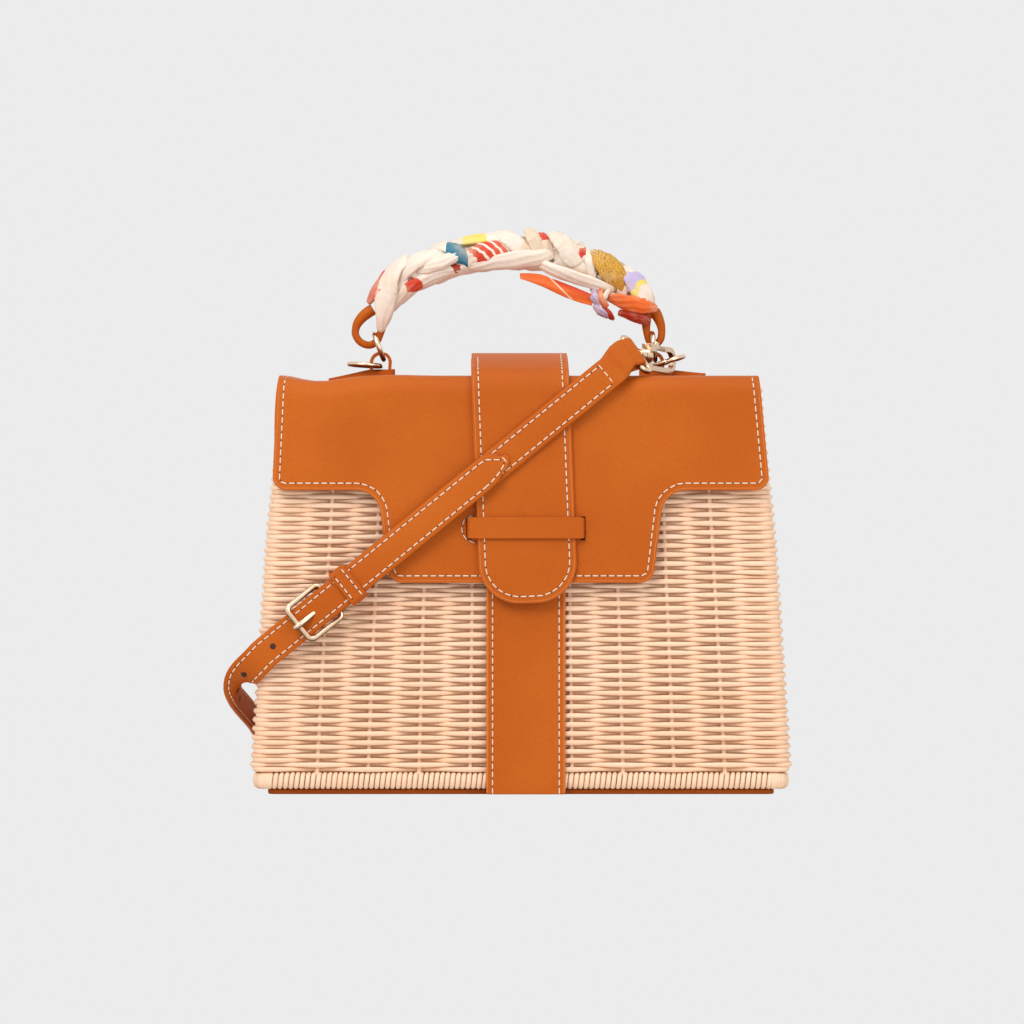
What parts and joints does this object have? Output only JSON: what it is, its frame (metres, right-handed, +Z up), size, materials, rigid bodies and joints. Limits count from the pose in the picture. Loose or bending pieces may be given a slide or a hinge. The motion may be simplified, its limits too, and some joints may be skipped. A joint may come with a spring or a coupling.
{
  "type": "basket box bag",
  "caption": "Woven reed box bag with a leather flap and tongue closure, a scarf wound top handle and a clip on shoulder strap.",
  "frame": {"origin": "middle of the underside, where the base panel stands on the ground", "axes": "+X to the right seen from the front, front faces -Y, +Z up"},
  "size_m": [0.2684, 0.1709, 0.2661],
  "materials": {
    "reed": "pale round reed, satin",
    "leather": "smooth tan leather, satin",
    "gold": "polished pale gold plate",
    "silk": "printed silk twill"
  },
  "bodies": {
    "bag": {"basket_body": "reed", "basket_floor": "reed", "foot_border": "reed", "rim_border": "reed", "base_panel": "leather", "front_strip": "leather", "flap": "leather", "closure_strap": "leather", "closure_keeper": "leather", "ring_tab_left": "leather", "ring_tab_right": "leather", "strap_short": "leather", "strap_long": "leather", "strap_keeper": "leather", "strap_ring_right": "gold", "buckle_frame": "gold", "buckle_prong": "gold", "hook_eye_right": "gold", "hook_eye_far": "gold"},
    "handle": {"handle_core": "leather", "handle_scarf": "silk", "handle_ring_left": "gold", "handle_ring_right": "gold"},
    "ring_left": {"strap_ring_left": "gold"},
    "hook_right": {"hook_body_right": "gold"},
    "gate_right": {"hook_gate_right": "gold"},
    "hook_far": {"hook_body_far": "gold"},
    "gate_far": {"hook_gate_far": "gold"}
  },
  "joints": [
    {"name": "handle_swing", "type": "hinge", "parent": "bag", "child": "handle", "pos_m": [0, 0, 0.21215], "axis": [1, 0, 0], "range_deg": [-75, 35]},
    {"name": "strap_ring_left", "type": "hinge", "parent": "bag", "child": "ring_left", "pos_m": [-0.0675, 0, 0.20275], "axis": [0, 1, 0], "range_deg": [0, 20]},
    {"name": "hook_right_swivel", "type": "hinge", "parent": "bag", "child": "hook_right", "pos_m": [0.0525, -0.0432, 0.207], "axis": [0.4622, 0.8855, -0.0479], "range_deg": [-12, 12]},
    {"name": "gate_right_open", "type": "hinge", "parent": "hook_right", "child": "gate_right", "pos_m": [0.06139, -0.02616, 0.21118], "axis": [-0.8865, 0.4627, 0], "range_deg": [0, 25], "stiffness_Nm_per_rad": 0.004, "springref_deg": -114.59},
    {"name": "hook_far_swivel", "type": "hinge", "parent": "bag", "child": "hook_far", "pos_m": [0.022, 0.08895, 0.0106], "axis": [1, 0, 0], "continuous": true},
    {"name": "gate_far_open", "type": "hinge", "parent": "hook_far", "child": "gate_far", "pos_m": [0.041, 0.08895, 0.0157], "axis": [0, 1, 0], "range_deg": [0, 25], "stiffness_Nm_per_rad": 0.004, "springref_deg": -114.59}
  ]
}
